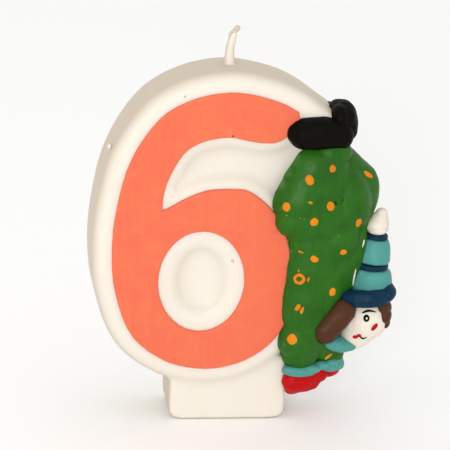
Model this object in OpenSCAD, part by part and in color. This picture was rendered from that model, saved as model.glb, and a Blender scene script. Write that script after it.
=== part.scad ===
// Number birthday candle: a cast wax numeral six on a foot, with a clown doing a
// handstand against its right side. X runs to the right, -Y is the front, Z is up.
// The origin is the middle of the foot's flat underside.

/* [Numeral] */
// Width of the coloured numeral
numeral_w = 43; // [36:0.5:54]
// Height of the coloured numeral
numeral_h = 67; // [56:0.5:84]
// Height of the numeral's lowest point above the table
numeral_low = 13.6; // [11:0.2:16]
// How far the numeral's middle stands to the left of the foot's middle
numeral_shift = 7.3; // [4:0.1:10]
// Width of the ivory border around the coloured numeral
border = 4.6; // [3.5:0.1:5.5]
// Front-to-back depth of the ivory block
body_depth = 19; // [16:0.5:23]
// Radius of the block's rounded front and back edges
shoulder = 3; // [2:0.1:3.4]
// How far the coloured layer stands proud of the block
layer_raise = 0.8; // [0.5:0.1:1.2]
// Ledge of plain wax between the coloured layer and the sunk bay above the bowl
ledge = 2.4; // [1.5:0.1:3]
// Ledge of plain wax around the sunk oval in the bowl's counter
counter_ledge = 4.4; // [2:0.1:6]
// Depth of the sunk areas in the numeral's openings
sunk = 2.2; // [1:0.1:3]

/* [Foot] */
// Width of the foot
foot_w = 28; // [24:0.2:36]
// Front-to-back depth of the foot
foot_depth = 16; // [13:0.2:18]
// Radius of the foot's rounded bottom corners
foot_corner = 2.5; // [1.5:0.5:4]

/* [Wick] */
// Diameter of the cotton wick
wick_d = 1.3; // [1:0.1:2]
// Thickness of the wax on the exposed wick
wick_wax_t = 0.45; // [0.3:0.05:0.8]
// Clearance between the wick and its hole
wick_clearance = 0.05; // [0.02:0.01:0.15]
// Length of wick that stands above the numeral
wick_up = 9; // [6:0.5:16]
// Height of the wick's lower end above the table
wick_low = 6; // [4:0.5:9]
// Sideways place of the wick
wick_x = -1.2; // [-3:0.1:3]

/* [Clown] */
// How far the clown is set into the block's right edge
clown_inset = 0.4; // [0:0.1:1]
// Extra plumpness of the costume
plump = 0; // [-0.5:0.1:0.5]
// Diameter of a costume dot
dot_d = 2.6; // [2:0.1:3.4]
// How far painted marks and dots stand proud
paint_raise = 0.35; // [0.25:0.05:0.6]
// Diameter of a wrist cuff
cuff_d = 8.6; // [7.5:0.1:10]
// Thickness of a wrist cuff
cuff_t = 3; // [2:0.1:3.5]

/* [Hat] */
// Diameter across the rolled brim
brim_d = 15.4; // [13:0.2:18]
// Thickness of the rolled brim
brim_t = 3.2; // [2.4:0.1:4]
// Diameter of the cone where it leaves the brim
cone_d = 10.4; // [8:0.2:11]
// Diameter of the cone under the pom-pom
cone_top_d = 5.4; // [3.4:0.1:6]
// Length of the cone
cone_h = 13.5; // [10:0.5:18]
// How far the cone stands to the side of the brim's middle
cone_shift = 1.4; // [0:0.1:2]
// Height of each painted navy stripe
stripe_h = 1.4; // [0.8:0.1:2]
// Height of the lower stripe above the brim
lower_stripe = 4.8; // [3:0.1:6]
// Diameter of the pom-pom
pompom_d = 6.2; // [5:0.1:8]
// How far the pom-pom stands to the side of the brim's middle
pompom_shift = 1.7; // [0:0.1:2]
// Sideways lean of the hat in degrees
hat_lean = 3.5; // [0:0.5:14]
// Tilt of the brim to the right, degrees
brim_lean = -3; // [-8:0.5:8]

/* [Hidden] */
$fn = 24;
samples = 4; // straight pieces between two neighbouring points of a curve
front = -body_depth / 2;
numeral_left = numeral_w / 2 + numeral_shift;
right_x = numeral_w - numeral_left;
edge_x = right_x + border;
clown_x = edge_x - clown_inset;
foot_side = foot_w / 2;
top_z = numeral_low + numeral_h + border;
grow = numeral_h / 67; // the clown grows with the numeral's height

// ---- Curves -------------------------------------------------------------------

// Point t of the way from b to c on the smooth curve that passes a, b, c and d.
function smooth(a, b, c, d, t) =
    0.5 * (2 * b + (c - a) * t + (2 * a - 5 * b + 4 * c - d) * t * t
        + (3 * b - a - 3 * c + d) * t * t * t);

// An open smooth curve through every point of a list.
function curve(p, n = samples) = concat(
    [for (i = [0:len(p) - 2], k = [0:n - 1])
        smooth(p[max(i - 1, 0)], p[i], p[i + 1], p[min(i + 2, len(p) - 1)], k / n)],
    [p[len(p) - 1]]
);

function unit(v) = v / norm(v);

// The curve moved sideways by d, to the right of its direction of travel.
function beside(p, d) = [
    for (i = [0:len(p) - 1])
        let (v = unit(p[min(i + 1, len(p) - 1)] - p[max(i - 1, 0)]))
        p[i] + d * [v[1], -v[0]]
];

// The same for a closed outline.
function beside_loop(p, d) = [
    for (i = [0:len(p) - 1])
        let (v = unit(p[(i + 1) % len(p)] - p[(i + len(p) - 1) % len(p)]))
        p[i] + d * [v[1], -v[0]]
];

function oval(centre, rx, rz, n = 40) = [
    for (i = [0:n - 1]) centre + [rx * cos(360 * i / n), rz * sin(360 * i / n)]
];

// Numeral points are drawn on a field 43 wide and 67 high, then fitted to its real size.
function fit(p) = [
    for (q = p) [q[0] * numeral_w / 43 - numeral_left, numeral_low + q[1] * numeral_h / 67]
];

// ---- The numeral's outlines ----------------------------------------------------

// Outer edge of the six, from the end of the top stroke, down its back, round the bowl.
outer_edge = curve(fit([
    [42.5, 62.7], [38.5, 64.8], [32.5, 66.6], [26, 67.2], [18, 65.6], [10.3, 60.9], [3.9, 51.1],
    [0.9, 39.6], [0, 29], [1.1, 18.8], [5.3, 8.2], [13.6, 1.9], [23.3, 0], [32.3, 2.1],
    [39.3, 7.5], [42.5, 15], [43, 23], [41.5, 30.5]
]));

// Inner edge of the top stroke, from its end back to the sharp notch above the bowl.
stroke_edge = curve(fit([
    [42.8, 60], [40.1, 57], [37, 55.4], [32.3, 55.6], [27, 56.6], [22.8, 56.2], [19, 54.9],
    [15.8, 52.4], [13, 47.3], [11.7, 43], [11.4, 38.9]
]));

// Top edge of the bowl, from the notch to the right.
bowl_edge = curve(fit([
    [11.4, 38.9], [13.7, 40.1], [17.1, 42], [21.8, 43.8], [27.6, 44.2], [31.8, 43.6],
    [36.7, 39.8], [40.2, 34.8]
]));

counter_mid = fit([[21.2, 21.7]])[0];
counter_rx = 10.2 * numeral_w / 43;
counter_rz = 12.3 * numeral_h / 67;

// The block follows the outer edge at the border's width and closes behind the clown.
block_edge = concat(
    [
        [clown_x + 5.2 * grow, numeral_low + numeral_h * 0.86],
        [clown_x + 5.9 * grow, numeral_low + numeral_h * 0.895],
        [clown_x + 4.6 * grow, numeral_low + numeral_h * 0.92],
        [clown_x + 1.2 * grow, numeral_low + numeral_h * 0.955]
    ],
    beside(outer_edge, border),
    [
        [clown_x - 0.6, numeral_low + numeral_h * 0.55],
        [clown_x + 1, numeral_low + numeral_h * 0.68]
    ]
);

// ---- General shapes ------------------------------------------------------------

// A plate standing upright, with its front face at y.
module upright(y, thickness) {
    translate([0, y + thickness, 0])
        rotate([90, 0, 0])
            linear_extrude(thickness) children();
}

// Levels of a rounded edge as [y, how far the outline is drawn in], front to back.
function edge_levels(half, radius) = concat(
    [for (t = [0:30:90]) [radius * (1 - cos(t)) - half, radius * (1 - sin(t))]],
    [for (t = [0:30:90]) [half - radius * (1 - sin(t)), radius * (1 - cos(t))]]
);

// A thick plate with rounded front and back edges, its flat faces fanned from a middle point.
module rounded_block(outline, middle, depth, radius) {
    n = len(outline);
    half = depth / 2;
    rings = 8;
    points = concat(
        [for (l = edge_levels(half, radius))
            for (q = beside_loop(outline, -l[1])) [q[0], l[0], q[1]]],
        [[middle[0], -half, middle[1]], [middle[0], half, middle[1]]]
    );
    faces = concat(
        [for (l = [0:rings - 2], i = [0:n - 1])
            [l * n + i, l * n + (i + 1) % n, (l + 1) * n + (i + 1) % n]],
        [for (l = [0:rings - 2], i = [0:n - 1])
            [l * n + i, (l + 1) * n + (i + 1) % n, (l + 1) * n + i]],
        [for (i = [0:n - 1]) [rings * n, (i + 1) % n, i]],
        [for (i = [0:n - 1])
            [rings * n + 1, (rings - 1) * n + i, (rings - 1) * n + (i + 1) % n]]
    );
    polyhedron(points, faces);
}

// A round blob of wax through several balls, each given as [x, y, z, radius].
module blob(balls, extra = 0) {
    hull()
        for (b = balls)
            translate([b[0], b[1], b[2]])
                sphere(b[3] + extra);
}

// A clown point's height, drawn for a numeral 67 high that starts 13 above the table.
function clown_z(z) = numeral_low + (z - 13) * grow;

// Clown balls are placed from a side, the block's front face and the numeral's low point.
function from_side(x, balls) = [
    for (b = balls) [x + b[0] * grow, front + b[1] * grow, clown_z(b[2]), b[3] * grow]
];

// The clown leans on the block's right edge, and its hands hold the foot's right side.
function on_clown(balls) = from_side(clown_x, balls);
function on_foot(balls) = from_side(foot_side, balls);

// ---- Numeral and foot ----------------------------------------------------------

module candle_envelope() {
    rounded_block(block_edge, counter_mid + [0, 12], body_depth, shoulder);
    upright(-foot_depth / 2, foot_depth) foot_outline();
}

module foot_outline() {
    height = numeral_low + 2;
    translate([-foot_w / 2, foot_corner])
        square([foot_w, height - foot_corner]);
    translate([foot_corner - foot_w / 2, 0])
        square([foot_w - 2 * foot_corner, foot_corner]);
    for (side = [-1, 1])
        translate([side * (foot_w / 2 - foot_corner), foot_corner])
            circle(foot_corner, $fn = 32);
}

// The open bay between the top stroke and the bowl, inside its ledge.
module bay_outline() {
    polygon(concat(
        beside(curve(fit([
            [44, 57.5], [40.1, 57], [37, 55.4], [32.3, 55.6], [27, 56.6], [22.8, 56.2],
            [19, 54.9], [15.8, 52.4], [13.9, 48]
        ])), -ledge),
        beside(curve(fit([
            [13.9, 40.4], [17.1, 42], [21.8, 43.8], [27.6, 44.2], [31.8, 43.6], [36.7, 39.8],
            [41, 34]
        ])), -ledge)
    ));
}

module counter_hollow() {
    polygon(oval(counter_mid, counter_rx - counter_ledge, counter_rz - counter_ledge));
}

module candle_body() {
    color("ivory")
        difference() {
            candle_envelope();
            for (y = [front - 1, -front - sunk]) {
                upright(y, sunk + 1) bay_outline();
                upright(y, sunk + 1) counter_hollow();
            }
            translate([wick_x, 0, wick_low])
                cylinder(d = wick_d + 2 * wick_clearance, h = top_z);
        }
}

module numeral_layer() {
    color("coral")
        upright(front - layer_raise, layer_raise)
            difference() {
                polygon(concat(outer_edge, [for (i = [len(bowl_edge) - 1:-1:1]) bowl_edge[i]],
                    [for (i = [len(stroke_edge) - 1:-1:0]) stroke_edge[i]]));
                polygon(oval(counter_mid, counter_rx, counter_rz));
            }
}

// ---- Wick ----------------------------------------------------------------------

wick_path = [
    [wick_x, 0, top_z - 0.6],
    [wick_x - 0.4, 0, top_z + wick_up * 0.35],
    [wick_x - 0.3, 0, top_z + wick_up * 0.78],
    [wick_x + 1.1, 0, top_z + wick_up - 0.3]
];

module wick_run(d) {
    for (i = [0:len(wick_path) - 2])
        hull() {
            translate(wick_path[i]) sphere(d = d, $fn = 20);
            translate(wick_path[i + 1]) sphere(d = d, $fn = 20);
        }
}

module wick_cord() {
    color("linen") {
        translate([wick_x, 0, wick_low])
            cylinder(d = wick_d, h = top_z - 0.6 - wick_low);
        wick_run(wick_d);
    }
}

module wick_wax() {
    color("ivory")
        difference() {
            wick_run(wick_d + 2 * wick_wax_t);
            wick_run(wick_d);
            candle_envelope();
            translate([wick_x, 0, wick_low])
                cylinder(d = wick_d, h = top_z - 0.6 - wick_low);
        }
}

// ---- Clown's legs, trunk and arms ------------------------------------------------

front_leg_balls = on_clown([
    [-0.8, 2, 62.5, 5.6], [3.4, 3, 62, 4.8], [-3.8, 1.5, 54, 6.6], [-2.3, 2, 49, 6],
    [2.2, 3.5, 50, 7]
]);
rear_leg_balls = on_clown([
    [6.2, 8, 61.5, 4.8], [9.7, 9, 55, 7.2], [8.7, 7.5, 50.5, 7.2]
]);
torso_balls = on_clown([
    [-0.8, 2.5, 43, 6], [-1.4, 2.5, 27, 6.4], [-0.3, 3, 20.5, 5.6], [8.2, 6, 43, 6.5],
    [6.2, 6, 30, 5.6], [3.7, 6, 20.5, 5], [5.8, 12, 42, 5], [4.2, 11.5, 23, 4.6]
]);
front_sleeve_balls = concat(
    on_clown([[-1.3, 2, 18.5, 5.2]]), on_foot([[2.6, 2, 15.4, 4]])
);
rear_sleeve_balls = concat(
    on_clown([[4.9, 5.6, 17.5, 5]]), on_foot([[10, 5.2, 15.2, 4.1]])
);

front_shoe_balls = on_clown([
    [-3.4, -0.5, 71.2, 3.7], [1.2, 0, 71.3, 3.9], [5, 0.8, 70.6, 3.5]
]);
rear_shoe_balls = on_clown([
    [-2.8, 18.5, 70.5, 3.2], [5, 18, 70.5, 3.3], [7.8, 11, 70, 3.3], [6.4, 11.5, 72.6, 2.5]
]);
front_glove_balls = on_foot([
    [2.6, 2.6, 8.8, 3.6], [1.4, 2.8, 7.4, 2.6], [6, 3, 8.4, 2.6]
]);
rear_glove_balls = on_foot([[10.1, 5.2, 9.6, 2.9], [13, 5.4, 10.4, 1.7]]);
front_wrist = on_foot([[2.9, 2.4, 12.4, 0]])[0];
rear_wrist = on_foot([[10.2, 5.4, 12.6, 0]])[0];

module number_stand() {
    candle_envelope();
    numeral_layer();
}

module shoes() {
    blob(front_shoe_balls);
    blob(rear_shoe_balls);
}

module legs(extra = 0) {
    blob(front_leg_balls, plump + extra);
    blob(rear_leg_balls, plump + extra);
}

module sleeves(extra = 0) {
    blob(front_sleeve_balls, plump + extra);
    blob(rear_sleeve_balls, plump + extra);
}

module front_shoe() {
    color("#1c1a1c")
        difference() {
            blob(front_shoe_balls);
            number_stand();
        }
}

module rear_shoe() {
    color("#1c1a1c")
        difference() {
            blob(rear_shoe_balls);
            number_stand();
            blob(front_shoe_balls);
        }
}

module front_leg() {
    color("forestgreen")
        difference() {
            blob(front_leg_balls, plump);
            number_stand();
            shoes();
            whole_head();
        }
}

module rear_leg() {
    color("green")
        difference() {
            blob(rear_leg_balls, plump);
            number_stand();
            shoes();
            blob(front_leg_balls, plump);
            whole_head();
        }
}

module torso() {
    color("seagreen")
        difference() {
            blob(torso_balls, plump);
            number_stand();
            legs();
            whole_head();
        }
}

module front_sleeve() {
    color("green")
        difference() {
            blob(front_sleeve_balls, plump);
            number_stand();
            blob(torso_balls, plump);
            whole_head();
        }
}

module rear_sleeve() {
    color("green")
        difference() {
            blob(rear_sleeve_balls, plump);
            number_stand();
            blob(torso_balls, plump);
            blob(front_sleeve_balls, plump);
            whole_head();
            translate([clown_x, front - 10 * grow, clown_z(19.2)])
                cube(30 * grow);
        }
}

module costume(extra = 0) {
    legs(extra);
    sleeves(extra);
    blob(torso_balls, plump + extra);
}

// Places of the dots as seen from the front, from the block's right edge and the table.
dots = [
    [3.4, 62.8], [-2.2, 60.6], [13, 59.4], [-7.3, 54], [-1.8, 55.4], [3.2, 54], [-0.6, 50.4],
    [10.5, 49.4], [7, 42.6], [0, 41.2], [-3.3, 36.2], [5, 32.6], [-3, 29], [-4.4, 21.2], [5.2, 15.6]
];

module costume_dots() {
    color("orange")
        difference() {
            intersection() {
                for (q = dots, side = [-1, 1])
                    translate([clown_x + q[0] * grow, 4 * grow, clown_z(q[1])])
                        rotate([side * 90, 0, 0])
                            cylinder(d = dot_d, h = 30, $fn = 16);
                costume(paint_raise);
            }
            costume();
            number_stand();
            shoes();
            whole_head();
        }
}

// ---- Wrists and hands ------------------------------------------------------------

module cuff(place) {
    r = cuff_d * grow / 2;
    h = cuff_t * grow;
    translate([place[0], place[1], place[2] - h / 2])
        rotate_extrude($fn = 32)
            polygon([[0, 0], [r, 0], [r, h * 0.35], [r - 0.8, h], [0, h]]);
}

module front_cuff() {
    color("mediumturquoise")
        difference() {
            cuff(front_wrist);
            number_stand();
            sleeves();
            blob(torso_balls, plump);
        }
}

module rear_cuff() {
    color("mediumturquoise")
        difference() {
            cuff(rear_wrist);
            number_stand();
            cuff(front_wrist);
            sleeves();
            blob(torso_balls, plump);
        }
}

module front_glove() {
    color("crimson")
        difference() {
            blob(front_glove_balls);
            number_stand();
            cuff(front_wrist);
            cuff(rear_wrist);
            sleeves();
        }
}

module rear_glove() {
    color("crimson")
        difference() {
            blob(rear_glove_balls);
            number_stand();
            cuff(front_wrist);
            cuff(rear_wrist);
            sleeves();
            blob(front_glove_balls);
        }
}

// ---- Head and hat ------------------------------------------------------------------

brim_place = on_clown([[13.6, 4.5, 30.4, 0]])[0];
face_balls = on_clown([[14.2, 4.5, 24.6, 6.1], [12.2, 4.2, 20.2, 3.8]]);
near_hair_balls = on_clown([[8.2, -0.5, 27.4, 2.9], [4, -0.7, 22.7, 3.2]]);
far_hair_balls = on_clown([
    [18.8, 4.2, 26.6, 2.6], [18.2, 5.4, 22.6, 2.5], [17.6, 8.8, 25.6, 2.6]
]);
back_hair_balls = on_clown([[10.5, 9, 26.5, 3], [16, 9.5, 26, 3.4], [14, 9, 21.5, 2.6]]);
collar_balls = on_clown([
    [5.4, 1.4, 18.5, 1.6], [8.2, 1.6, 17.8, 1.6], [10.9, 2.4, 17.8, 1.5], [9, 7, 17.6, 2.4]
]);

module on_hat(lean = hat_lean) {
    translate([brim_place[0], brim_place[1], brim_place[2]])
        rotate([0, lean, 0]) children();
}

function cone_radius(h) = (cone_d + (cone_top_d - cone_d) * h / cone_h) / 2;

// A slice of the cone between two heights above the brim.
module cone_slice(low, high) {
    translate([cone_shift, 0, brim_t / 2 + low])
        cylinder(h = high - low, r1 = cone_radius(low), r2 = cone_radius(high), $fn = 32);
}

upper_stripe = cone_h - stripe_h;

module hat_brim() {
    color("midnightblue")
        on_hat(brim_lean)
            rotate_extrude($fn = 32) {
                translate([0, -brim_t / 2])
                    square([(brim_d - brim_t) / 2, brim_t]);
                intersection() {
                    translate([(brim_d - brim_t) / 2, 0])
                        circle(d = brim_t, $fn = 20);
                    translate([0, -brim_t])
                        square([brim_d, 2 * brim_t]);
                }
            }
}

module hat_bands() {
    color("mediumturquoise")
        difference() {
            on_hat() {
                cone_slice(-brim_t / 2, lower_stripe);
                cone_slice(lower_stripe + stripe_h, upper_stripe);
            }
            hat_brim();
        }
}

module hat_stripes() {
    color("midnightblue")
        on_hat() {
            cone_slice(lower_stripe, lower_stripe + stripe_h);
            cone_slice(upper_stripe, cone_h);
        }
}

module hat_pompom() {
    color("ivory")
        on_hat()
            difference() {
                translate([pompom_shift, 0, brim_t / 2 + cone_h + pompom_d * 0.45])
                    sphere(d = pompom_d, $fn = 32);
                translate([pompom_shift, 0, brim_t / 2 + cone_h - pompom_d])
                    cylinder(d = 2 * pompom_d, h = pompom_d);
            }
}

module hat() {
    hat_brim();
    on_hat() cone_slice(-brim_t / 2, cone_h);
    hat_pompom();
}

module head() {
    color("ivory")
        difference() {
            blob(face_balls);
            hat_brim();
        }
}

module near_hair() {
    color("#4a2c22")
        difference() {
            blob(near_hair_balls);
            blob(face_balls);
            hat_brim();
            number_stand();
        }
}

module far_hair() {
    color("#4a2c22")
        difference() {
            union() {
                blob(far_hair_balls);
                blob(back_hair_balls);
            }
            blob(face_balls);
            blob(near_hair_balls);
            hat_brim();
            on_hat() cone_slice(-brim_t / 2, cone_h);
        }
}

module collar() {
    color("lightseagreen")
        difference() {
            blob(collar_balls);
            blob(face_balls);
            blob(near_hair_balls);
            blob(far_hair_balls);
            blob(back_hair_balls);
            number_stand();
        }
}

module whole_head() {
    blob(face_balls);
    blob(near_hair_balls);
    blob(far_hair_balls);
    blob(back_hair_balls);
    blob(collar_balls);
    hat();
}

// ---- Painted face ------------------------------------------------------------------

// A painted mark: a stroke between two points on the face, seen from the front.
module face_mark(from, to, d, raise = paint_raise) {
    difference() {
        intersection() {
            hull()
                for (q = [from, to])
                    translate([clown_x + q[0] * grow, front + 4.5 * grow, clown_z(q[1])])
                        rotate([90, 0, 0])
                            cylinder(d = d, h = 12, $fn = 16);
            blob(face_balls, raise);
        }
        blob(face_balls);
        blob(near_hair_balls);
        hat_brim();
    }
}

module eye_ring() {
    color("black") face_mark([13.9, 25.9], [13.9, 25.5], 1.7);
}

module eyebrow() {
    color("black") face_mark([13.3, 27.9], [15.6, 28.2], 0.6);
}

module nose() {
    color("crimson") face_mark([15.8, 22.9], [16.4, 23.9], 1.4, 2 * paint_raise);
}

module lips() {
    color("crimson") face_mark([11.3, 20.6], [12.5, 21.1], 1.2);
}

module smile_line() {
    color("black") face_mark([13.4, 20.4], [14.4, 20.6], 0.7);
}

candle_body();
numeral_layer();
wick_cord();
wick_wax();
torso();
front_leg();
rear_leg();
front_sleeve();
rear_sleeve();
costume_dots();
front_shoe();
rear_shoe();
front_cuff();
rear_cuff();
front_glove();
rear_glove();
collar();
head();
near_hair();
far_hair();
hat_brim();
hat_bands();
hat_stripes();
hat_pompom();
eye_ring();
eyebrow();
nose();
lips();
smile_line();
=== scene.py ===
"""Looks of the number birthday candle: wax, painted clown, wick, floor, light and camera.

Lengths in the tables below are millimetres, as [x, y, z]: x to the right, y away from the front,
z up from the middle of the foot's underside.
"""
import math

import bpy
from mathutils import Matrix, Vector


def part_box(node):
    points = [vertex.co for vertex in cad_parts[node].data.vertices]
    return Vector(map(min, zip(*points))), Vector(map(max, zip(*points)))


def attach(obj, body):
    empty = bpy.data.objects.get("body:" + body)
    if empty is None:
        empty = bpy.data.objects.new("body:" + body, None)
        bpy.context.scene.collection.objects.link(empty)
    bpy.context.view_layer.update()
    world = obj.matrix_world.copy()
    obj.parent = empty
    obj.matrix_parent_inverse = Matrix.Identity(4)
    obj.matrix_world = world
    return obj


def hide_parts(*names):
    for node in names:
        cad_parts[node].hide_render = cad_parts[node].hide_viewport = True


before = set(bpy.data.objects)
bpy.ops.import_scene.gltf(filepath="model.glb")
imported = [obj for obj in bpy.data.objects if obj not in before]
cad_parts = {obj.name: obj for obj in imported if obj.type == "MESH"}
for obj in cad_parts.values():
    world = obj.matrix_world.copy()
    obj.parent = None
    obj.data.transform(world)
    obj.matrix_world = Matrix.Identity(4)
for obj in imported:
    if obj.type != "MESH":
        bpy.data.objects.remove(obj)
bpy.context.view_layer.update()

MM = 0.001
BACKWARDS = Vector((0, 1, 0))
FORWARDS = Vector((0, -1, 0))
RAY_START = 60          # how far from the middle a ray towards a surface starts, in millimetres
SPIN_STEPS = 64
CANDLE_MIDDLE = Vector((0, 0, 0.045))


def mm(x, y, z):
    """A place or shift given in millimetres."""
    return Vector((x, y, z)) * MM


# ---- Modelling helpers ------------------------------------------------------------

def deselect():
    """Leaves edit mode and selects nothing."""
    if bpy.context.mode != "OBJECT":
        bpy.ops.object.mode_set(mode="OBJECT")
    bpy.ops.object.select_all(action="DESELECT")


def pick(obj):
    """Makes obj the only selected and the active object."""
    deselect()
    obj.select_set(True)
    bpy.context.view_layer.objects.active = obj


def edit(obj):
    """Opens obj in edit mode with everything selected."""
    pick(obj)
    bpy.ops.object.mode_set(mode="EDIT")
    bpy.ops.mesh.select_all(action="SELECT")


def done():
    """Leaves edit mode."""
    bpy.ops.object.mode_set(mode="OBJECT")


def modify(obj, kind, **settings):
    """Adds a modifier and applies it."""
    pick(obj)
    modifier = obj.modifiers.new(kind.lower(), kind)
    for key, value in settings.items():
        setattr(modifier, key, value)
    bpy.ops.object.modifier_apply(modifier=modifier.name)


def join(name, parts):
    """Joins several objects into one named piece."""
    deselect()
    for part in parts:
        part.select_set(True)
    bpy.context.view_layer.objects.active = parts[0]
    if len(parts) > 1:
        bpy.ops.object.join()
    parts[0].name = name
    parts[0].data.name = name
    return parts[0]


def merge(obj, distance=0.001):
    """Merges doubled points and turns every face outwards."""
    edit(obj)
    bpy.ops.mesh.remove_doubles(threshold=distance * MM)
    bpy.ops.mesh.normals_make_consistent(inside=False)
    done()
    return obj


def push(obj, chosen, shift):
    """Moves the points of obj whose place is chosen."""
    edit(obj)
    bpy.ops.mesh.select_all(action="DESELECT")
    done()
    for vertex in obj.data.vertices:
        vertex.select = chosen(vertex.co)
    bpy.ops.object.mode_set(mode="EDIT")
    bpy.ops.transform.translate(value=shift)
    done()


def cast_of(name, *nodes):
    """A merged copy of CAD nodes, to be worked into a softer casting."""
    copies = []
    for node in nodes:
        copy = bpy.data.objects.new(name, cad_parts[node].data.copy())
        bpy.context.collection.objects.link(copy)
        copy.data.materials.clear()
        copies.append(copy)
    return merge(join(name, copies))


def smooth_shading(obj):
    """Shades obj smooth and returns it."""
    pick(obj)
    bpy.ops.object.shade_smooth()
    return obj


def ripple(obj, size, height):
    """Gives the surface the soft unevenness of poured wax."""
    texture = bpy.data.textures.new(obj.name + "_ripple", "CLOUDS")
    texture.noise_scale = size * MM
    texture.noise_depth = 1
    modify(obj, "DISPLACE", strength=height * MM, mid_level=0.5, texture=texture,
           texture_coords="LOCAL")
    return obj


def melt(obj, voxel, rounds, swell=0.0):
    """Remeshes finely, swells a little and smooths: crisp solids turn into one soft casting."""
    modify(obj, "REMESH", mode="VOXEL", voxel_size=voxel * MM, use_smooth_shade=True)
    if swell:
        modify(obj, "DISPLACE", strength=swell * MM, mid_level=0.0)
    modify(obj, "SMOOTH", factor=0.5, iterations=rounds)
    return obj


def cut_away(obj, tool):
    """Takes the tool's shape out of obj."""
    modify(obj, "BOOLEAN", operation="DIFFERENCE", solver="EXACT", object=tool)
    bpy.data.objects.remove(tool)


def without_crumbs(obj):
    """Cleans up after cuts: merges doubled points, closes pin holes, keeps the largest shell."""
    name = obj.name
    edit(obj)
    bpy.ops.mesh.remove_doubles(threshold=0.02 * MM)
    bpy.ops.mesh.dissolve_degenerate(threshold=0.002 * MM)
    bpy.ops.mesh.separate(type="LOOSE")
    done()
    shells = sorted(bpy.context.selected_objects, key=lambda shell: -len(shell.data.polygons))
    for crumb in shells[1:]:
        bpy.data.objects.remove(crumb)
    shells[0].name = name
    edit(shells[0])
    bpy.ops.mesh.fill_holes(sides=0)
    bpy.ops.mesh.quads_convert_to_tris()
    bpy.ops.mesh.normals_make_consistent(inside=False)
    done()
    return smooth_shading(shells[0])


def bead(place, radii, turn=(0, 0, 0), segments=24):
    """A ball stretched to three radii in millimetres, turned in degrees and put in place."""
    deselect()
    bpy.ops.mesh.primitive_uv_sphere_add(segments=segments, ring_count=segments // 2, radius=MM)
    obj = bpy.context.object
    obj.scale = radii
    obj.rotation_euler = [math.radians(angle) for angle in turn]
    obj.location = place
    bpy.ops.object.transform_apply(location=True, rotation=True, scale=True)
    return obj


def surface(host, x, z, way=BACKWARDS):
    """The place and normal where a ray through x, z meets the host."""
    hit, place, normal, _ = host.ray_cast(mm(x, -RAY_START * way.y, z), way)
    if not hit:
        raise ValueError("nothing to sit on at %s, %s" % (x, z))
    return place, normal


def seated(obj, host, x, z, way=BACKWARDS):
    """Lays a flat bead, made around the origin and facing -Y, on the host's surface at x, z."""
    place, normal = surface(host, x, z, way)
    turn = FORWARDS.rotation_difference(normal).to_matrix().to_4x4()
    obj.data.transform(Matrix.Translation(place) @ turn)
    return obj


def daub(host, x, z, width, height, thick=0.3, turn=0.0, way=BACKWARDS):
    """A flat daub of paint on a host: a bead pressed onto the surface."""
    spot = bead((0, 0, 0), (width / 2, thick, height / 2), (0, turn, 0), 20)
    return seated(spot, host, x, z, way)


def stroke(name, host, points, radii):
    """A painted line: a thin tube that follows the host's surface through [x, z] points."""
    return tube(name, [surface(host, x, z)[0] for x, z in points], radii)


def tube(name, places, radii):
    """A round tube along places, with its own radius in millimetres at each of them."""
    curve = bpy.data.curves.new(name, "CURVE")
    curve.dimensions = "3D"
    curve.bevel_depth = MM
    curve.bevel_resolution = 6
    curve.use_fill_caps = True
    spline = curve.splines.new("NURBS")
    spline.points.add(len(places) - 1)
    for point, place, radius in zip(spline.points, places, radii):
        point.co = (*place, 1)
        point.radius = radius
    spline.use_endpoint_u = True
    spline.order_u = 3
    spline.resolution_u = 6
    obj = bpy.data.objects.new(name, curve)
    bpy.context.collection.objects.link(obj)
    pick(obj)
    bpy.ops.object.convert(target="MESH")
    return smooth_shading(merge(bpy.context.object, 0.005))


def spun(name, profile, place, lean):
    """A turned shape: (radius, height) points spun about an upright axis, leant and placed."""
    deselect()
    bpy.ops.mesh.primitive_plane_add(size=MM)
    obj = bpy.context.object
    obj.name = name
    bpy.ops.object.mode_set(mode="EDIT")
    bpy.ops.mesh.select_all(action="SELECT")
    bpy.ops.mesh.delete(type="ONLY_FACE")
    bpy.ops.mesh.delete(type="VERT")
    done()
    obj.data.vertices.add(len(profile))
    for vertex, (radius, height) in zip(obj.data.vertices, profile):
        vertex.co = mm(radius, 0, height)
    obj.data.edges.add(len(profile) - 1)
    for index, edge in enumerate(obj.data.edges):
        edge.vertices = (index, index + 1)
    edit(obj)
    bpy.ops.mesh.spin(steps=SPIN_STEPS, angle=math.tau, center=(0, 0, 0), axis=(0, 0, 1))
    done()
    merge(obj, 0.01)
    turn = Matrix.Rotation(math.radians(lean), 4, "Y")
    obj.data.transform(Matrix.Translation(place) @ turn)
    return smooth_shading(obj)


def finish_piece(obj, material, slot, *nodes):
    """Gives a piece its material, its body and the CAD nodes that it stands for. slot is not used.
    """
    obj.data.materials.clear()
    obj.data.materials.append(material)
    for polygon in obj.data.polygons:
        polygon.material_index = 0
    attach(obj, "root")
    if nodes:
        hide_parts(*nodes)
    return obj


def painted(name, mark, material, slot, *nodes):
    """Names, smooths and finishes a small painted mark."""
    mark.name = name
    return finish_piece(smooth_shading(mark), material, slot, *nodes)


# ---- Shader helpers ---------------------------------------------------------------

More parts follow.
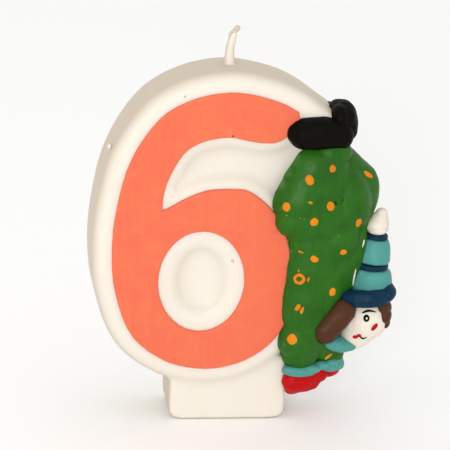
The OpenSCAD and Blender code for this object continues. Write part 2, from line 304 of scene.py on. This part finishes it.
class Value:
    """A socket that takes part in arithmetic. Each operation adds a Math node."""

    def __init__(self, finish, socket):
        self.finish = finish
        self.socket = socket

    def math(self, operation, *values, clamp=False):
        """The result of a Math node on values or numbers."""
        node = self.finish.tree.nodes.new("ShaderNodeMath")
        node.operation = operation
        node.use_clamp = clamp
        for socket, value in zip(node.inputs, values):
            self.finish.feed(socket, value)
        return Value(self.finish, node.outputs[0])

    def __add__(self, other):
        return self.math("ADD", self, other)

    def __radd__(self, other):
        return self.math("ADD", other, self)

    def __sub__(self, other):
        return self.math("SUBTRACT", self, other)

    def __rsub__(self, other):
        return self.math("SUBTRACT", other, self)

    def __mul__(self, other):
        return self.math("MULTIPLY", self, other)

    def __rmul__(self, other):
        return self.math("MULTIPLY", other, self)

    def between(self, low, high):
        """0 at low, 1 at high, and a straight rise between them."""
        return self.math("MULTIPLY", self - low, 1.0 / (high - low), clamp=True)


class Finish:
    """A material built up around one Principled shader."""

    def __init__(self, name, **constants):
        self.material = bpy.data.materials.new(name)
        self.material.use_nodes = True
        self.tree = self.material.node_tree
        self.shader = self.tree.nodes["Principled BSDF"]
        for key, value in constants.items():
            socket = key.replace("_", " ").title().replace("Ior", "IOR")
            self.shader.inputs[socket].default_value = value
        self.place = self.node("ShaderNodeTexCoord", output="Object")

    def feed(self, socket, value):
        """Links a Value to the socket, or sets the socket to a plain number or colour."""
        if isinstance(value, Value):
            self.tree.links.new(value.socket, socket)
        else:
            socket.default_value = value

    def node(self, kind, settings=None, inputs=None, output=0):
        """Any node: its settings first, then its sockets, and one of its outputs."""
        node = self.tree.nodes.new(kind)
        for key, value in (settings or {}).items():
            setattr(node, key, value)
        for key, value in (inputs or {}).items():
            self.feed(node.inputs[key], value)
        return Value(self, node.outputs[output])

    def millimetres(self, scale=(1, 1, 1), turn=(0, 0, 0)):
        """Object coordinates in millimetres, stretched and turned."""
        return self.node("ShaderNodeMapping", inputs={
            "Vector": self.place, "Rotation": turn,
            "Scale": tuple(1000 * value for value in scale)})

    def axis(self, name):
        """One object coordinate in millimetres."""
        return self.node("ShaderNodeSeparateXYZ", inputs={"Vector": self.millimetres()},
                         output=name)

    def noise(self, size, detail=2.0, roughness=0.5, warp=0.0, where=None):
        """Soft noise whose blotches are about size millimetres across."""
        return self.node("ShaderNodeTexNoise", inputs={
            "Vector": where or self.millimetres(), "Scale": 1.0 / size, "Detail": detail,
            "Roughness": roughness, "Distortion": warp})

    def sideways(self):
        """0 on faces towards the front or back, 1 on side walls, the top and the underside: the
        mask for painted shade.
        """
        facing = self.node("ShaderNodeSeparateXYZ", inputs={
            "Vector": self.node("ShaderNodeNewGeometry", output="Normal")}, output="Y")
        return 1 - facing.math("ABSOLUTE", facing)

    def edges(self, low, high):
        """0 in hollows and 1 on edges that stand out, from the piece's own shape."""
        return self.node("ShaderNodeNewGeometry", output="Pointiness").between(low, high)

    def mix(self, factor, first, second):
        """The second colour laid over the first by factor."""
        node = self.tree.nodes.new("ShaderNodeMix")
        node.data_type = "RGBA"
        self.feed(node.inputs[0], factor)
        for socket, value in ((node.inputs[6], first), (node.inputs[7], second)):
            self.feed(socket, (*value, 1) if isinstance(value, tuple) else value)
        return Value(self, node.outputs[2])

    def bump(self, height, distance, strength):
        """Surface relief, distance millimetres high."""
        normal = self.node("ShaderNodeBump", inputs={
            "Height": height, "Distance": distance * MM, "Strength": strength}, output="Normal")
        self.feed(self.shader.inputs["Normal"], normal)

    def colour(self, value):
        self.feed(self.shader.inputs["Base Color"], value)

    def roughness(self, value):
        self.feed(self.shader.inputs["Roughness"], value)


def cast_wax(name, colour, warm, shade, sides=True):
    """Cast wax: soft glow, clouding, pits and a satin skin. With sides on, faces turned away from
    the front get painted shade, and hollows get patchy painted shade.
    """
    wax = Finish(name, subsurface_weight=0.3, subsurface_scale=0.0016,
                 subsurface_radius=(1.0, 0.75, 0.5), coat_weight=0.06, coat_roughness=0.3,
                 specular_ior_level=0.35)
    clouding = wax.noise(9.0, detail=3.0).between(0.35, 0.75)
    patchiness = wax.noise(3.0, detail=4.0, roughness=0.6)
    recess_shade = 1 - wax.edges(0.44, 0.5)
    specks = wax.noise(0.5, detail=1.0).between(0.74, 0.78)
    base = wax.mix(clouding * 0.5, colour, warm)
    if sides:
        # painted shade: side walls, the top and the underside darken towards the shade colour the
        # further they turn from the front
        base = wax.mix(wax.sideways().between(0, 0.85) * 0.8, base, shade)
    # painted shade in hollows, made patchy by noise
    base = wax.mix(recess_shade * patchiness * 0.5, base, shade)
    base = wax.mix(specks * 0.3, base, shade)
    wax.colour(base)
    wax.roughness(0.4 + 0.18 * wax.noise(2.5, detail=3.0))
    pits = wax.noise(0.9, detail=2.0).between(0.68, 0.78)
    relief = 0.7 * wax.noise(1.6, detail=4.0, roughness=0.6) - 0.5 * pits
    wax.bump(relief, distance=0.07, strength=0.5)
    return wax.material


def brushed_paint(name, colour, deep, scuff_and_sheen_colour, gloss=0.36, streak=(1, 1, 0.25), edge_scuff_and_highlight=0.5,
                  shine=0.16, sheen_spots=()):
    """Hand-brushed paint on wax: streaks, painted shade in hollows, scuffed high spots with a
    painted highlight, and a soft gloss.
    """
    paint = Finish(name, subsurface_weight=0.05, subsurface_scale=0.001, coat_weight=0.02,
                   coat_roughness=0.2, specular_ior_level=shine)
    brush = paint.noise(0.8, detail=3.0, where=paint.millimetres(streak, (0.3, 0.2, 0.1)))
    cloud = paint.noise(5.0, detail=3.0, warp=0.4)
    deepness = cloud.between(0.3, 0.75) * 0.55 + brush.between(0.35, 0.8) * 0.3
    # high spots lighten: scuffed paint together with a painted highlight on the edges that stand
    # out
    high = paint.edges(0.52, 0.6) * paint.noise(1.8, detail=4.0).between(0.42, 0.62)
    recess_shade = 1 - paint.edges(0.42, 0.495)
    base = paint.mix(deepness, colour, deep)
    # painted shade in hollows
    base = paint.mix(recess_shade * 0.5, base, deep)
    base = paint.mix(high * edge_scuff_and_highlight, base, scuff_and_sheen_colour)
    specks = paint.noise(0.45, detail=1.0).between(0.76, 0.8)
    base = paint.mix(specks * 0.5, base, scuff_and_sheen_colour)
    # painted sheen: pale streaky spots laid on at the given places
    for x, z, reach in sheen_spots:
        across = (paint.axis("X") - x) * (1 / reach)
        along = (paint.axis("Z") - z) * (1 / reach)
        spot = (across * across + along * along).between(1.0, 0.2)
        base = paint.mix(spot * brush.between(0.3, 0.65) * 0.55, base, scuff_and_sheen_colour)
    paint.colour(base)
    paint.roughness(gloss + 0.2 * brush)
    paint.bump(0.6 * paint.noise(1.1, detail=3.0) + 0.4 * brush, distance=0.1, strength=0.6)
    return paint.material


def coral_wax():
    """Coral layer: satin, with warmer and paler patches and faint upright brush lines."""
    coral = Finish("coral_wax", subsurface_weight=0.15, subsurface_scale=0.001, coat_weight=0.02,
                   coat_roughness=0.3, specular_ior_level=0.16)
    plain, warm, red = (0.735, 0.145, 0.076), (0.745, 0.185, 0.068), (0.735, 0.128, 0.066)
    faded, brush_line, speck = (0.79, 0.215, 0.115), (0.70, 0.13, 0.06), (0.42, 0.07, 0.04)
    patches = coral.noise(7.0, detail=3.0, warp=0.6).between(0.4, 0.75)
    pale = coral.noise(3.5, detail=4.0).between(0.55, 0.85)
    lines = coral.noise(0.9, detail=2.0, where=coral.millimetres((1, 1, 0.08)))
    specks = coral.noise(0.42, detail=1.0).between(0.76, 0.8)
    redder = coral.axis("X").between(4.0, 16.0)
    base = coral.mix(patches * 0.5, plain, warm)
    base = coral.mix(redder * 0.5, base, red)
    base = coral.mix(pale * 0.4, base, faded)
    base = coral.mix(lines.between(0.5, 0.8) * 0.35, base, brush_line)
    base = coral.mix(specks * 0.5, base, speck)
    coral.colour(base)
    coral.roughness(0.42 + 0.16 * lines)
    coral.bump(0.5 * coral.noise(1.4, detail=4.0) + 0.3 * lines, distance=0.07, strength=0.5)
    return coral.material


def cotton():
    """Waxed cotton: dull, with fine fibres."""
    thread = Finish("wick_cotton", subsurface_weight=0.15, subsurface_scale=0.0008)
    fibre = thread.noise(0.12, detail=3.0, where=thread.millimetres((3, 3, 0.6)))
    thread.colour(thread.mix(fibre, (0.70, 0.62, 0.48), (0.45, 0.38, 0.28)))
    thread.roughness(0.7 + 0.2 * fibre)
    thread.bump(fibre, distance=0.08, strength=0.8)
    return thread.material


def pale_floor():
    """Plain pale floor with a barely visible tooth."""
    floor = Finish("pale_floor", specular_ior_level=0.1)
    tooth = floor.noise(1.5, detail=3.0)
    floor.colour(floor.mix(tooth * 0.4, (0.955, 0.955, 0.95), (0.93, 0.93, 0.925)))
    floor.roughness(0.75 + 0.1 * tooth)
    return floor.material


IVORY = cast_wax("ivory_wax", (0.745, 0.70, 0.625), (0.735, 0.68, 0.59), (0.52, 0.425, 0.31))
SKIN = cast_wax("face_wax", (0.76, 0.70, 0.61), (0.75, 0.67, 0.55), (0.66, 0.52, 0.40),
                sides=False)
CORAL = coral_wax()
COTTON = cotton()
# The three spots given for the green are a painted sheen on the front knee.
GREEN = brushed_paint("green_paint", (0.021, 0.126, 0.005), (0.009, 0.069, 0.003),
                      (0.12, 0.24, 0.08),
                      sheen_spots=[(12.8, 65.4, 1.8), (10.9, 62.6, 1.8), (9.7, 59.6, 1.7)])
ORANGE = brushed_paint("orange_paint", (0.70, 0.245, 0.006), (0.52, 0.13, 0.004),
                       (0.76, 0.38, 0.05), edge_scuff_and_highlight=0.3, shine=0.1)
BLACK = brushed_paint("black_paint", (0.0035, 0.003, 0.002), (0.002, 0.0018, 0.0012),
                      (0.016, 0.011, 0.008), gloss=0.45, edge_scuff_and_highlight=0.4, shine=0.04)
TEAL = brushed_paint("teal_paint", (0.078, 0.305, 0.275), (0.055, 0.235, 0.215),
                     (0.26, 0.52, 0.47))
NAVY = brushed_paint("navy_paint", (0.004, 0.029, 0.062), (0.003, 0.020, 0.042),
                     (0.03, 0.08, 0.13), shine=0.08)
RED = brushed_paint("red_paint", (0.55, 0.0015, 0.003), (0.27, 0.002, 0.004), (0.70, 0.04, 0.04),
                    edge_scuff_and_highlight=0.3, shine=0.1)
BROWN = brushed_paint("brown_paint", (0.080, 0.028, 0.012), (0.042, 0.016, 0.008),
                      (0.12, 0.055, 0.03), streak=(1, 1, 0.2), shine=0.1)
GLINT = brushed_paint("white_paint", (0.85, 0.83, 0.78), (0.80, 0.76, 0.70), (0.9, 0.88, 0.85))


# ---- Candle -------------------------------------------------------------------------

# Pits in the block's front as [x, z, radius].
PITS = [(-12.9, 79.8, 0.3), (-0.3, 40.2, 0.4), (7.4, 76.9, 0.2)]

# The stretch of the block whose points are smoothed more: the walls of the sunk areas.
OPENING_X, OPENING_DEPTH, OPENING_Z = (-24, 19), (5, 9.8), (20, 72)


def within(value, limits):
    """Whether a length in metres lies between two limits in millimetres."""
    return limits[0] * MM < value < limits[1] * MM


def candle_block():
    """The ivory block: soft mould edges, softened openings, a few pits and a small bump."""
    block = cast_of("candle_block", "candle_body")
    melt(block, voxel=0.42, rounds=45)
    openings = block.vertex_groups.new(name="openings")
    inside = [v.index for v in block.data.vertices
              if within(abs(v.co.y), OPENING_DEPTH) and within(v.co.x, OPENING_X)
              and within(v.co.z, OPENING_Z)]
    openings.add(inside, 1.0, "REPLACE")
    modify(block, "SMOOTH", factor=0.5, iterations=140, vertex_group="openings")
    block.vertex_groups.clear()
    ripple(block, size=9, height=0.25)
    for x, z, radius in PITS:
        pit = bead((0, 0, 0), (radius, radius, radius), segments=12)
        cut_away(block, seated(pit, block, x, z))
    pip = bead(mm(-29.6, -5.2, 66.8), (0.55, 0.55, 0.7), segments=16)
    modify(block, "BOOLEAN", operation="UNION", solver="EXACT", object=pip)
    bpy.data.objects.remove(pip)
    return finish_piece(without_crumbs(block), IVORY, "ivory_wax", "candle_body")


def numeral():
    """The coral layer: rounded edges that wander a little, its back sunk in the block."""
    layer = cast_of("numeral_six", "numeral_layer")
    back_from, sink = -9.6, 0.9
    push(layer, lambda place: place.y > back_from * MM, mm(0, sink, 0))
    melt(layer, voxel=0.22, rounds=5)
    ripple(layer, size=3, height=0.12)
    painted("soot_speck", daub(layer, -1.6, 70.7, 0.4, 0.4, thick=0.12), BLACK, "black_paint")
    return finish_piece(layer, CORAL, "coral_wax", "numeral_layer")


def wick():
    """The wick's wax coat, leaning to a flattened tip, with a small fillet at its foot."""
    coat = tube("wick_coat", [mm(-1.7, 0, 84.3), mm(-1.8, 0, 87.2), mm(-1.6, 0, 89.6),
                              mm(-1.3, 0, 91.4), mm(-0.9, 0, 92.7), mm(-0.2, 0, 93.9)],
                [1.5, 1.08, 1.0, 0.95, 0.75, 0.2])
    fillet = bead(mm(-1.7, 0, 85.0), (1.7, 1.6, 0.9))
    coat = join("wick_coat", [coat, fillet])
    melt(coat, voxel=0.14, rounds=4)
    ripple(coat, size=1.6, height=0.16)
    finish_piece(coat, IVORY, "ivory_wax", "wick_wax")
    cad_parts["wick_cord"].material_slots[0].material = COTTON


# ---- Clown --------------------------------------------------------------------------

# Costume dots as [x, z, width, height, turn in degrees]. The front ones keep a share of their
# listed width and height.
FRONT_DOT_SHARE = 0.82
FRONT_DOTS = [
    (21.8, 63.4, 2.2, 2.3, 0), (16.2, 61.2, 2.5, 2.9, -20), (31.6, 60.1, 1.6, 3.5, -58),
    (11.1, 54.7, 2.4, 2.7, 10), (21.6, 54.7, 2.5, 2.9, -25), (17.8, 51.1, 2.5, 2.6, 25),
    (28.9, 49.9, 2.1, 2.6, 0), (25.4, 43.1, 1.9, 2.1, 40), (18.4, 41.8, 2.6, 1.9, 30),
    (23.4, 33.2, 2.2, 2.5, 5), (15.0, 29.9, 1.5, 2.3, 35), (16.1, 29.3, 1.0, 2.2, 15),
    (14.1, 21.9, 3.1, 3.1, 0), (23.6, 16.3, 2.7, 1.7, -15),
    (16.6, 55.9, 1.5, 0.8, 15), (15.2, 43.4, 1.7, 0.45, 20), (17.2, 36.9, 0.5, 1.5, 15),
    (14.9, 38.7, 0.4, 0.8, -10), (11.3, 52.6, 0.35, 0.45, 0), (14.4, 52.2, 0.4, 0.4, 0),
]
BACK_DOTS = [
    (31.2, 59.6, 2.4, 2.8, 20), (21.9, 63.2, 2.4, 2.6, 0), (28.9, 49.6, 2.5, 2.6, 10),
    (21.6, 54.6, 2.6, 2.4, 30), (25.4, 43.2, 2.4, 2.7, -10), (18.6, 41.6, 2.3, 2.3, 0),
    (23.4, 33.2, 2.6, 2.5, 15), (23.8, 16.2, 2.2, 2.3, 0),
]


def costume():
    """Trunk, legs and sleeves cast as one soft body, with wavy sleeve ends and a ring mark."""
    nodes = ("torso", "front_leg", "rear_leg", "front_sleeve", "rear_sleeve")
    body = cast_of("green_costume", *nodes)
    lobes = [bead(mm(x, y, z), (r, 2.6, r), segments=20) for x, y, z, r in (
        (15.2, -8.8, 16.4, 2.8), (18.8, -9.2, 16.6, 2.2), (22.2, -7.6, 17.2, 2.3),
        (25.0, -5.6, 17.2, 2.2))]
    folds = [bead(mm(*place), radii) for place, radii in (
        ((26.2, -5.6, 53.4), (6.4, 6.0, 8.6)), ((21.8, -8.2, 66.4), (5.0, 3.6, 3.4)),
        ((16.0, -8.6, 20.6), (4.9, 4.6, 5.0)), ((15.8, -8.2, 30.0), (4.6, 3.8, 8.0)),
        ((24.6, -7.6, 45.0), (5.2, 4.4, 6.4)), ((13.4, -9.6, 50.6), (4.4, 4.4, 4.4)))]
    body = join("green_costume", [body] + lobes + folds)
    melt(body, voxel=0.3, rounds=16, swell=0.1)
    ripple(body, size=5, height=0.5)
    ripple(body, size=1.8, height=0.14)
    ring = bead((0, 0, 0), (1.9, 0.28, 1.1), (0, 15, 0))
    cut_away(body, seated(ring, body, 23.4, 55.9))
    dimple = bead((0, 0, 0), (0.6, 0.8, 0.5))
    cut_away(body, seated(dimple, body, 22.9, 55.2))
    return finish_piece(without_crumbs(body), GREEN, "green_paint", *nodes)


def bare_seams(body):
    """Thin lines of bare wax beside the hat, where the green was not painted up to the edge."""
    lines = [stroke("seam", body, places, radii) for places, radii in (
        ([(33.6, 50.4), (32.9, 48.6), (32.1, 46.4)], [0.12, 0.3, 0.12]),
        ([(30.9, 45.0), (30.7, 44.2), (30.5, 43.3)], [0.2, 0.3, 0.12]),
        ([(29.2, 38.0), (28.9, 36.0), (28.8, 33.6)], [0.12, 0.3, 0.15]))]
    return finish_piece(join("bare_seams", lines), SKIN, "ivory_wax")


def costume_dots(body):
    """Orange daubs on the costume's front and back, and one painted loop."""
    dots = [daub(body, x, z, FRONT_DOT_SHARE * w, FRONT_DOT_SHARE * h, turn=turn)
            for x, z, w, h, turn in FRONT_DOTS]
    dots += [daub(body, x, z, w, h, turn=turn, way=FORWARDS) for x, z, w, h, turn in BACK_DOTS]
    deselect()
    bpy.ops.mesh.primitive_torus_add(major_radius=1.0 * MM, minor_radius=0.42 * MM,
                                     major_segments=28, minor_segments=10,
                                     rotation=(math.radians(90), 0, 0))
    loop = bpy.context.object
    bpy.ops.object.transform_apply(location=True, rotation=True, scale=True)
    dots.append(seated(loop, body, 15.1, 36.9))
    piece = join("painted_dots", dots)
    ripple(piece, size=1.1, height=0.35)
    ripple(piece, size=0.5, height=0.12)
    smooth_shading(piece)
    return finish_piece(piece, ORANGE, "orange_paint", "costume_dots")


def worked(name, nodes, beads, rounds, height, shift=(0, 0, 0)):
    """A casting of CAD nodes, moved a little, with beads of wax melted into it."""
    piece = cast_of(name, *nodes)
    piece.data.transform(Matrix.Translation(mm(*shift)))
    piece = join(name, [piece] + [bead(mm(*place), radii, segments=20) for place, radii in beads])
    melt(piece, voxel=0.22, rounds=rounds, swell=0.06)
    return ripple(piece, size=2.6, height=height)


def limbs():
    """Blunt shoes, frilled cuffs and mitten-like gloves; cuffs and gloves run into each other."""
    front = worked("front_shoe_form", ["front_shoe"], [((13.9, -10.0, 71.4), (3.0, 2.6, 2.8))],
                   rounds=8, height=0.3, shift=(0, 0, -0.5))
    finish_piece(front, BLACK, "black_paint", "front_shoe")
    rear = worked("rear_shoe_form", ["rear_shoe"],
                  [((25.0, -5.0, 74.2), (3.0, 5.0, 3.9)), ((25.6, -1.0, 73.4), (2.9, 5.0, 3.4)),
                   ((25.4, -6.0, 71.4), (2.8, 4.0, 3.0)), ((23.6, -7.6, 74.4), (2.3, 3.4, 3.3)),
                   ((24.0, -3.4, 75.2), (2.4, 4.4, 2.6)),
                   ((25.4, -4.0, 72.6), (3.2, 5.4, 4.0))],
                  rounds=40, height=0.3, shift=(-0.9, 0, 0))
    finish_piece(rear, BLACK, "black_paint", "rear_shoe")
    frill = worked("cuff_frills", ["front_cuff", "rear_cuff"],
                   [((14.2, -10.0, 13.2), (1.6, 1.2, 0.9)), ((17.0, -10.6, 13.0), (1.7, 1.2, 0.9)),
                    ((19.8, -9.8, 13.4), (2.0, 1.4, 1.1)), ((22.2, -8.6, 13.8), (2.0, 1.4, 1.1)),
                    ((24.6, -7.6, 14.2), (1.8, 1.3, 0.9)), ((26.0, -6.0, 14.5), (1.4, 1.1, 0.9))],
                   rounds=8, height=0.35, shift=(0, 0, 0.3))
    finish_piece(frill, TEAL, "teal_paint", "front_cuff", "rear_cuff")
    hands = worked("glove_pair", ["front_glove"],
                   [((15.4, -8.4, 9.8), (2.6, 2.2, 2.8)), ((18.4, -8.0, 10.4), (2.9, 2.3, 2.6)),
                    ((21.2, -6.6, 11.2), (2.9, 2.6, 2.5)), ((24.6, -5.2, 12.1), (2.7, 2.5, 2.4)),
                    ((23.0, -3.6, 11.6), (3.4, 2.8, 2.4))],
                   rounds=14, height=0.4, shift=(0, 0, 0.6))
    finish_piece(hands, RED, "red_paint", "front_glove", "rear_glove")


def head():
    """The face, the hair on both sides of it and the collar."""
    face = cast_of("face_form", "head")
    melt(face, voxel=0.22, rounds=6)
    ripple(face, size=4, height=0.15)
    finish_piece(face, SKIN, "skin_wax", "head")
    near = cast_of("near_hair_form", "near_hair")
    melt(near, voxel=0.2, rounds=6, swell=0.08)
    ripple(near, size=3, height=0.35)
    finish_piece(near, BROWN, "brown_paint", "near_hair")
    far = worked("far_hair_form", ["far_hair"],
                 [((36.4, -7.9, 28.5), (1.9, 2.7, 1.9)), ((36.8, -7.6, 26.3), (1.8, 2.7, 2.2)),
                  ((37.0, -6.6, 24.2), (1.6, 2.4, 1.7))],
                 rounds=6, height=0.4, shift=(-0.8, 0, 0))
    finish_piece(far, BROWN, "brown_paint", "far_hair")
    ruff = cast_of("collar_form", "collar")
    melt(ruff, voxel=0.2, rounds=5, swell=0.1)
    ripple(ruff, size=2.2, height=0.4)
    finish_piece(ruff, TEAL, "teal_paint", "collar")
    return face


def face_marks(face):
    """Eye, eyebrow, nose, lips and smile line, painted on the face."""
    painted("eye_ring_paint", daub(face, 32.0, 26.4, 1.5, 1.75), BLACK, "black_paint", "eye_ring")
    painted("eye_glint", daub(face, 32.05, 26.4, 0.6, 0.72, thick=0.42), GLINT, "skin_wax")
    brow = stroke("eyebrow_paint", face, [(31.0, 27.5), (31.9, 28.0), (33.0, 28.1), (34.3, 27.7)],
                  [0.16, 0.3, 0.28, 0.12])
    finish_piece(brow, BLACK, "black_paint", "eyebrow")
    nose = daub(face, 34.1, 24.1, 1.1, 2.2, thick=0.5, turn=35)
    painted("nose_paint", nose, RED, "red_paint", "nose")
    lips = join("lips_paint", [daub(face, 29.9, 21.2, 1.5, 0.95, turn=-25),
                               daub(face, 30.7, 21.7, 1.1, 0.9, turn=10)])
    painted("lips_paint", lips, RED, "red_paint", "lips")
    smile = stroke("smile_paint", face, [(31.0, 21.5), (31.3, 21.0), (31.9, 20.8), (32.6, 21.2)],
                   [0.2, 0.26, 0.24, 0.12])
    finish_piece(smile, BLACK, "black_paint", "smile_line")


def hat():
    """Rolled brim, two bulging teal bands and two narrow navy stripes."""
    brim_low, brim_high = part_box("hat_brim")
    middle = (brim_low + brim_high) / 2
    brim_lean, lean = -3, 4.2
    stripe_lean = lean - 3
    roll = [(0, -1.5), (4.5, -1.7), (6.2, -2.1), (7.4, -1.5), (7.8, 0.1), (7.3, 1.6),
            (6.2, 2.2), (5.2, 2.0), (4.6, 1.2), (0, 0.9)]
    brim = join("brim_roll", [spun("brim_roll", roll, middle, brim_lean),
                              bead(middle + mm(5.2, -1.0, 0.8), (2.4, 5.4, 2.5))])
    melt(brim, voxel=0.24, rounds=8)
    ripple(brim, size=5, height=0.8)
    ripple(brim, size=1.8, height=0.2)
    finish_piece(brim, NAVY, "navy_paint", "hat_brim")
    cone = middle + Matrix.Rotation(math.radians(lean), 3, "Y") @ mm(1.4, 0, 1.6)
    lower = spun("lower_band", [(0, -1.2), (5.35, -1.2), (5.25, 0.8), (5.0, 2.6), (4.6, 4.1),
                                (4.15, 4.8), (0, 4.8)], cone, lean)
    upper = spun("upper_band", [(0, 6.0), (3.9, 6.0), (4.1, 7.0), (3.8, 9.2), (3.35, 11.2),
                                (2.9, 12.1), (0, 12.1)], cone, lean)
    bands = join("hat_band_forms", [lower, upper])
    modify(bands, "SUBSURF", levels=2, render_levels=2)
    ripple(bands, size=3, height=0.3)
    finish_piece(bands, TEAL, "teal_paint", "hat_bands")
    first = spun("lower_stripe", [(0, 4.4), (4.0, 4.5), (4.18, 5.4), (3.95, 6.2), (0, 6.4)],
                 cone, stripe_lean)
    second = spun("upper_stripe", [(0, 11.7), (2.85, 11.9), (2.9, 12.5), (2.7, 13.3),
                                   (0, 13.5)], cone, lean)
    stripes = join("hat_stripe_forms", [first, second])
    modify(stripes, "SUBSURF", levels=2, render_levels=2)
    ripple(stripes, size=2.5, height=0.3)
    finish_piece(stripes, NAVY, "navy_paint", "hat_stripes")


def pompom():
    """An egg-shaped pom-pom that sits on the cone like a cap and tapers upwards."""
    low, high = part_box("hat_pompom")
    middle = (low + high) / 2
    tuft = join("pompom_form", [bead(middle + mm(-0.4, 0, -0.9), (2.95, 2.95, 2.3)),
                                bead(middle + mm(-0.2, 0, -2.2), (2.7, 2.7, 1.3)),
                                bead(middle + mm(0.1, 0, 0.3), (2.3, 2.3, 1.9)),
                                bead(middle + mm(0.6, 0, 1.4), (1.5, 1.6, 1.8))])
    melt(tuft, voxel=0.22, rounds=8)
    ripple(tuft, size=2.5, height=0.35)
    return finish_piece(tuft, IVORY, "ivory_wax", "hat_pompom")


candle_block()
numeral()
wick()
suit = costume()
bare_seams(suit)
costume_dots(suit)
limbs()
face_marks(head())
hat()
pompom()


# ---- Floor, light and camera -------------------------------------------------------------

def floor():
    """A wide pale floor, a hair under the foot."""
    deselect()
    bpy.ops.mesh.primitive_plane_add(size=8, location=mm(0, 0, -0.02))
    plane = bpy.context.object
    plane.name = "floor"
    plane.data.materials.append(pale_floor())
    bpy.ops.object.transform_apply(location=True, rotation=True, scale=True)


def soft_light(name, place, size, power, colour):
    """A round soft box that faces the middle of the candle."""
    light = bpy.data.lights.new(name, "AREA")
    light.shape = "DISK"
    light.size = size
    light.energy = power
    light.color = colour
    obj = bpy.data.objects.new(name, light)
    bpy.context.collection.objects.link(obj)
    obj.location = place
    aim = CANDLE_MIDDLE - Vector(place)
    obj.rotation_euler = aim.to_track_quat("-Z", "Y").to_euler()


def studio():
    """Bright even surroundings and one soft key light in front."""
    world = bpy.data.worlds.new("soft_studio")
    bpy.context.scene.world = world
    world.use_nodes = True
    air = world.node_tree.nodes["Background"]
    air.inputs["Color"].default_value = (1.0, 0.995, 0.985, 1)
    air.inputs["Strength"].default_value = 0.97
    soft_light("key", (-0.30, -1.10, 0.34), size=0.35, power=5.0, colour=(1.0, 0.985, 0.96))
    bpy.context.scene.view_settings.view_transform = "Standard"


def camera():
    """Looks from a little to the left and above, rolled so that the foot stays level."""
    target, distance, lens = mm(-1.15, 0.15, 46.1), 0.6, 202.6
    side, height, roll = math.radians(-8), math.radians(17), math.radians(2.35)
    back = Vector((math.sin(side) * math.cos(height), -math.cos(side) * math.cos(height),
                   math.sin(height)))
    level = Vector((math.cos(side), math.sin(side), 0))
    right = level * math.cos(roll) + back.cross(level) * math.sin(roll)
    turned = Matrix((right, back.cross(right), back)).transposed()
    data = bpy.data.cameras.new("camera")
    data.lens = lens
    data.sensor_width = 36
    obj = bpy.data.objects.new("camera", data)
    bpy.context.collection.objects.link(obj)
    obj.location = target + back * distance
    obj.rotation_euler = turned.to_euler()
    bpy.context.scene.camera = obj


floor()
studio()
camera()
